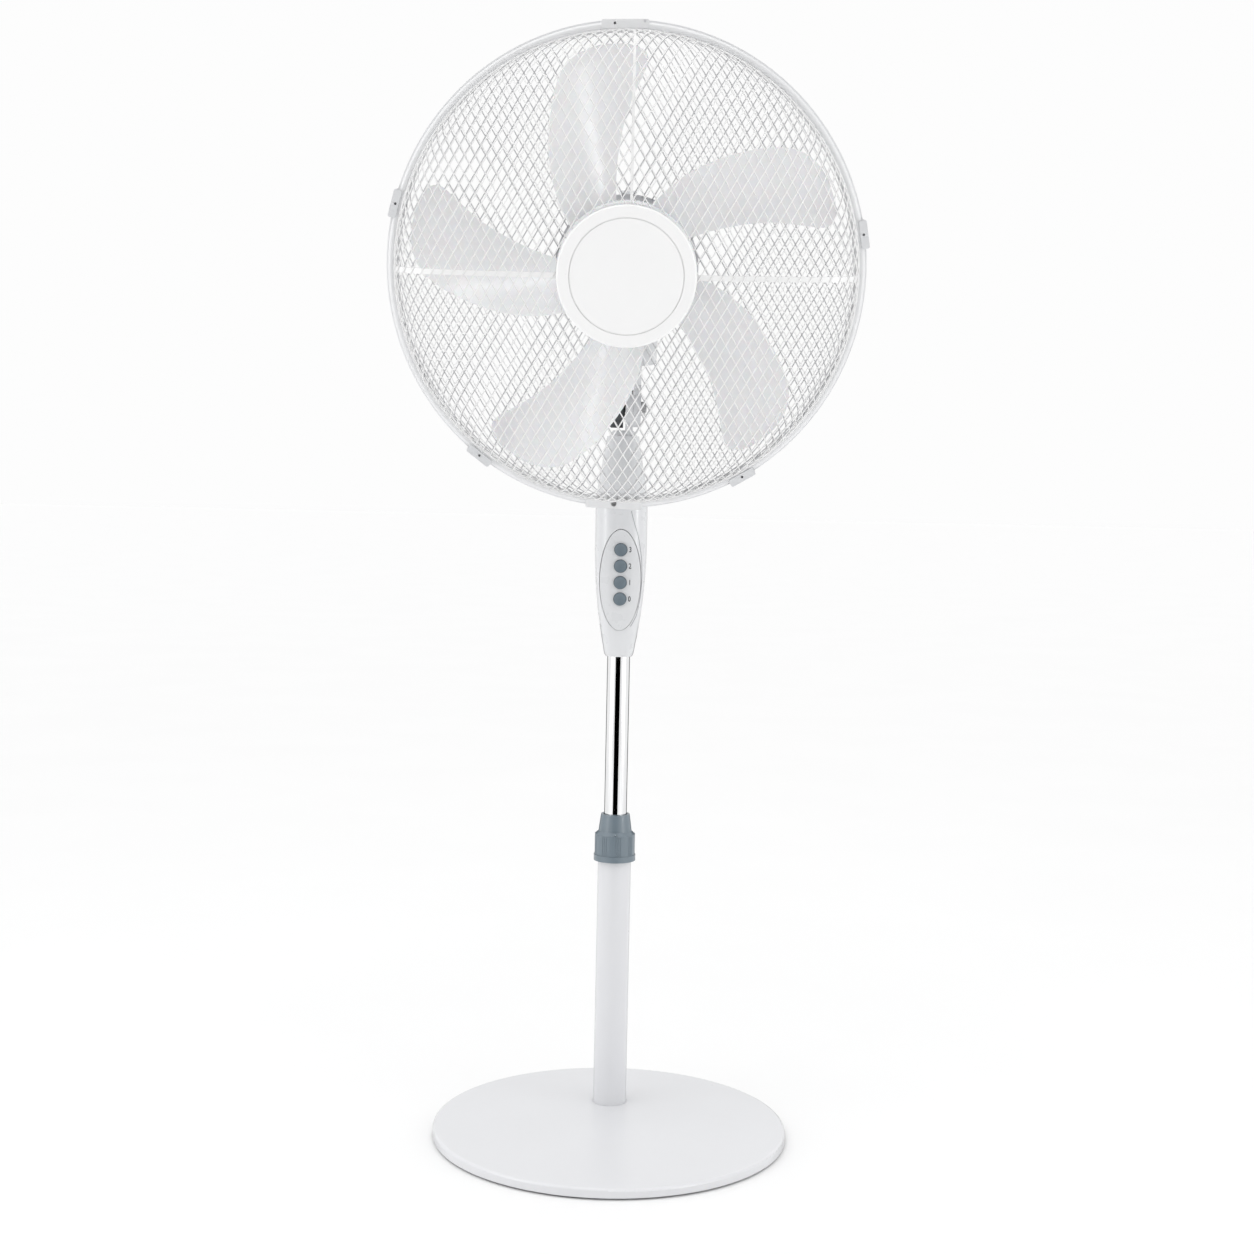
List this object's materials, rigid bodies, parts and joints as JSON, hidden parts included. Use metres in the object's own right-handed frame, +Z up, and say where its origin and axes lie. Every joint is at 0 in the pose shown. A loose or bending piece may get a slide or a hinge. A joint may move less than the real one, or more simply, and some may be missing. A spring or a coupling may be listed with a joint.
{
  "type": "pedestal fan",
  "caption": "Pedestal fan with a caged propeller head that tilts and swings, a telescopic pole with clamp collar, a push-button housing and a round weighted base.",
  "frame": {"origin": "on the floor under the middle of the round base, which is also under the middle of the cage from side to side", "axes": "+Z up along the pole, front of the fan towards -Y, +X to the right of someone who looks at the front"},
  "size_m": [0.4804, 0.376, 1.1432],
  "materials": {
    "white_gloss": "glossy white moulding",
    "white_paint": "white stove enamel",
    "wire_white": "white coated wire",
    "iron": "raw casting",
    "rubber": "matt",
    "steel": "plated",
    "chrome": "polished",
    "slate": "slate grey, satin",
    "charcoal": "dark grey, satin",
    "natural": "natural nylon",
    "blade": "glossy, faintly translucent grey-white",
    "alloy": "die cast",
    "bronze": "sintered bronze",
    "copper": "enamelled copper wire"
  },
  "bodies": {
    "stand": {"base_cover": "white_paint", "base_weight": "iron", "foot_ring": "rubber", "tube_plug": "steel", "base_screw": "steel", "lower_tube": "white_paint", "collar_seat": "natural"},
    "collar": {"height_collar": "slate"},
    "mast": {"inner_tube": "chrome", "tube_bush": "natural", "housing_front": "white_gloss", "housing_rear": "white_gloss", "control_panel": "white_gloss", "switch_block": "charcoal", "housing_screws": "steel", "cord_gland": "rubber", "neck_core": "white_gloss"},
    "push_0": {"button_0": "slate"},
    "push_1": {"button_1": "slate"},
    "push_2": {"button_2": "slate"},
    "push_3": {"button_3": "slate"},
    "knob": {"tilt_knob": "charcoal", "tilt_stud": "steel"},
    "bracket": {"tilt_bracket": "white_gloss", "tilt_nut": "steel", "pan_pin": "steel"},
    "head": {"motor_front_plate": "alloy", "motor_frame": "alloy", "stator_core": "steel", "stator_windings": "copper", "shaft_bushes": "bronze", "gearbox_case": "charcoal", "motor_cover": "white_gloss", "cover_screw": "steel", "grille_nut": "charcoal", "rear_plate": "white_paint", "rear_mesh": "wire_white", "rear_rim": "white_gloss", "front_mesh": "wire_white", "front_rim": "white_gloss", "front_ribs": "wire_white", "front_plate": "white_paint", "medallion": "white_gloss", "rim_screw": "steel"},
    "fan": {"motor_shaft": "steel", "rotor_core": "steel", "fan_blade": "blade", "spinner_nut": "charcoal", "drive_pin": "steel"},
    "clutch": {"clutch_knob": "white_gloss"},
    "crank": {"swing_crank": "steel"},
    "latch_left": {"clip_left": "white_gloss"},
    "latch_right": {"clip_right": "white_gloss"},
    "latch_low_left": {"clip_low_left": "white_gloss"},
    "latch_low_right": {"clip_low_right": "white_gloss"}
  },
  "joints": [
    {"name": "height_slide", "type": "slide", "parent": "stand", "child": "mast", "axis": [0, 0, 1], "range_m": [-0.16, 0.06]},
    {"name": "collar_turn", "type": "hinge", "parent": "stand", "child": "collar", "pos_m": [0, 0.071, 0.308], "axis": [0, 0, 1], "range_deg": [0, 120]},
    {"name": "head_tilt", "type": "hinge", "parent": "mast", "child": "bracket", "pos_m": [0, 0.071, 0.775], "axis": [1, 0, 0], "range_deg": [-25, 5]},
    {"name": "tilt_knob_turn", "type": "hinge", "parent": "mast", "child": "knob", "pos_m": [0, 0.071, 0.775], "axis": [1, 0, 0], "range_deg": [0, 180]},
    {"name": "head_swing", "type": "hinge", "parent": "bracket", "child": "head", "pos_m": [0, 0.06232, 0.82424], "axis": [0, -0.1736, 0.9848], "range_deg": [-38, 38]},
    {"name": "crank_turn", "type": "hinge", "parent": "head", "child": "crank", "pos_m": [0, 0.08978, 0.84127], "axis": [0, -0.1736, 0.9848], "range_deg": [-100, 100]},
    {"name": "blade_spin", "type": "hinge", "parent": "head", "child": "fan", "pos_m": [0, -0.00464, 0.91601], "axis": [0, -0.9848, -0.1736], "continuous": true},
    {"name": "clutch_pull", "type": "slide", "parent": "head", "child": "clutch", "axis": [0, -0.1736, 0.9848], "range_m": [0, 0.008]},
    {"name": "push_0_press", "type": "slide", "parent": "mast", "child": "push_0", "axis": [0, 1, 0], "range_m": [0, 0.0025], "stiffness_N_per_m": 1600, "springref_m": -0.0015},
    {"name": "push_1_press", "type": "slide", "parent": "mast", "child": "push_1", "axis": [0, 1, 0], "range_m": [0, 0.0025], "stiffness_N_per_m": 1600, "springref_m": -0.0015},
    {"name": "push_2_press", "type": "slide", "parent": "mast", "child": "push_2", "axis": [0, 1, 0], "range_m": [0, 0.0025], "stiffness_N_per_m": 1600, "springref_m": -0.0015},
    {"name": "push_3_press", "type": "slide", "parent": "mast", "child": "push_3", "axis": [0, 1, 0], "range_m": [0, 0.0025], "stiffness_N_per_m": 1600, "springref_m": -0.0015},
    {"name": "latch_left_turn", "type": "hinge", "parent": "head", "child": "latch_left", "pos_m": [-0.23037, -0.06263, 0.96846], "axis": [-0.2588, 0.1677, -0.9513], "range_deg": [0, 70]},
    {"name": "latch_right_turn", "type": "hinge", "parent": "head", "child": "latch_right", "pos_m": [0.23488, -0.0591, 0.94846], "axis": [-0.1736, -0.171, 0.9698], "range_deg": [0, 70]},
    {"name": "latch_low_left_turn", "type": "hinge", "parent": "head", "child": "latch_low_left", "pos_m": [-0.14683, -0.01927, 0.72259], "axis": [0.788, 0.1069, -0.6063], "range_deg": [0, 70]},
    {"name": "latch_low_right_turn", "type": "hinge", "parent": "head", "child": "latch_low_right", "pos_m": [0.12284, -0.01641, 0.70635], "axis": [0.8572, -0.0894, 0.5072], "range_deg": [0, 70]}
  ],
  "couplings": [
    {"joint": "crank_turn", "follows": "head_swing", "ratio": -2.63}
  ]
}
